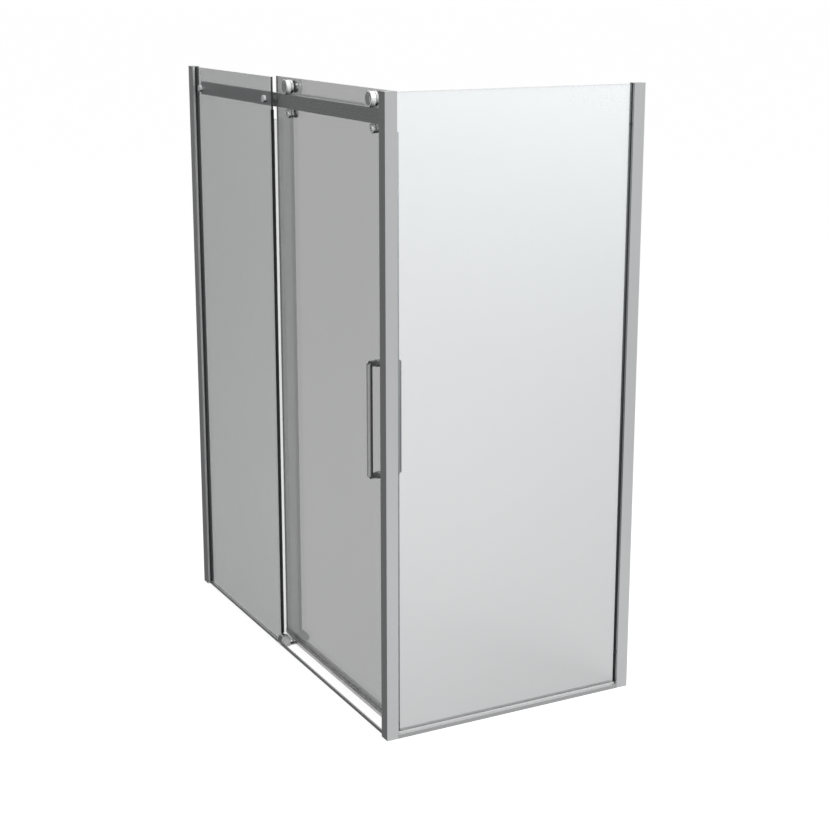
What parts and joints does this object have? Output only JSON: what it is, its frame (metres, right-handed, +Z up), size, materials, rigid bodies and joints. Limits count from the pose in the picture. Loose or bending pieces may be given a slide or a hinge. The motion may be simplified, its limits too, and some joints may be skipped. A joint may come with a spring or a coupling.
{
  "type": "shower enclosure with sliding door",
  "caption": "Corner shower enclosure: fixed pane and rolling door pane on a flat top rail along the front, fixed side pane, square corner post, wall profiles and back-to-back bar handles.",
  "frame": {"origin": "on the floor, in the middle of the plan rectangle that the front run and the side run span", "axes": "+Z up; the front with the sliding door faces -Y; +X points from the left wall to the corner post; the side pane stands at high X and runs along +Y to the back wall"},
  "size_m": [1.6, 0.9, 2],
  "materials": {
    "aluminium_profile": "satin anodised",
    "steel_rail": "brushed along its length",
    "steel_polished": "polished",
    "steel_wheel": "turned and polished rims",
    "steel_fastener": "plain",
    "glass_tinted": "clear, slightly grey toughened pane",
    "rubber_black": "matt",
    "vinyl_seal": "translucent soft vinyl",
    "magnet_strip": "flexible magnetic strip",
    "nylon": "moulded",
    "guide_metal": "turned face"
  },
  "bodies": {
    "frame": {"wall_channel_front": "aluminium_profile", "wall_channel_side": "aluminium_profile", "glazing_channel_front": "aluminium_profile", "glazing_channel_side": "aluminium_profile", "channel_cap_front": "aluminium_profile", "channel_cap_side": "aluminium_profile", "corner_post": "aluminium_profile", "corner_post_cap": "aluminium_profile", "side_base_profile": "aluminium_profile", "sill": "aluminium_profile", "strike_profile": "aluminium_profile", "rail_post_bracket": "aluminium_profile", "rail_end_cap": "aluminium_profile", "connector_spacers": "aluminium_profile", "rail": "steel_rail", "connector_caps": "steel_polished", "rail_stop": "steel_polished", "glazing_screws_front": "steel_fastener", "glazing_screws_side": "steel_fastener", "bracket_screws": "steel_fastener", "connector_bolts": "steel_fastener", "fixed_glass": "glass_tinted", "side_glass": "glass_tinted", "glazing_gasket_front": "rubber_black", "glazing_gasket_side": "rubber_black", "connector_grommets": "rubber_black", "post_glass_liner": "rubber_black", "side_base_liner": "rubber_black", "setting_blocks": "rubber_black", "rail_stop_buffer": "rubber_black", "fixed_edge_seal": "vinyl_seal", "strike_magnet": "magnet_strip", "guide_fork": "nylon", "guide_drum": "guide_metal"},
    "door": {"door_glass": "glass_tinted", "door_magnet_seal": "vinyl_seal", "door_drip_seal": "vinyl_seal", "handle_outer": "steel_polished", "handle_inner": "steel_polished", "handle_collars": "steel_polished", "handle_grommets": "rubber_black", "handle_bolts": "steel_fastener", "roller_hubs": "steel_wheel", "roller_axles": "steel_fastener", "roller_grommets": "rubber_black", "roller_inner_caps": "steel_polished", "lift_hubs": "steel_wheel", "lift_bolts": "steel_fastener", "lift_grommets": "rubber_black", "lift_inner_caps": "steel_polished"},
    "roller_left": {"roller_wheel_left": "steel_wheel", "roller_tread_left": "nylon", "roller_cover_left": "steel_polished", "roller_bearing_left": "steel_fastener"},
    "lift_wheel_left": {"lift_wheel_left": "nylon"},
    "roller_right": {"roller_wheel_right": "steel_wheel", "roller_tread_right": "nylon", "roller_cover_right": "steel_polished", "roller_bearing_right": "steel_fastener"},
    "lift_wheel_right": {"lift_wheel_right": "nylon"}
  },
  "joints": [
    {"name": "door_slide", "type": "slide", "parent": "frame", "child": "door", "axis": [-1, 0, 0], "range_m": [0, 0.62]},
    {"name": "roller_left_spin", "type": "hinge", "parent": "door", "child": "roller_left", "pos_m": [0.017, -0.414, 1.9685], "axis": [0, -1, 0], "range_deg": [0, 1605]},
    {"name": "roller_right_spin", "type": "hinge", "parent": "door", "child": "roller_right", "pos_m": [0.637, -0.414, 1.9685], "axis": [0, -1, 0], "range_deg": [0, 1605]},
    {"name": "lift_wheel_left_spin", "type": "hinge", "parent": "door", "child": "lift_wheel_left", "pos_m": [0.017, -0.408, 1.883], "axis": [0, -1, 0], "continuous": true},
    {"name": "lift_wheel_right_spin", "type": "hinge", "parent": "door", "child": "lift_wheel_right", "pos_m": [0.637, -0.408, 1.883], "axis": [0, -1, 0], "continuous": true}
  ],
  "couplings": [
    {"joint": "roller_left_spin", "follows": "door_slide", "rad_per_m": 45.045},
    {"joint": "roller_right_spin", "follows": "door_slide", "rad_per_m": 45.045}
  ]
}
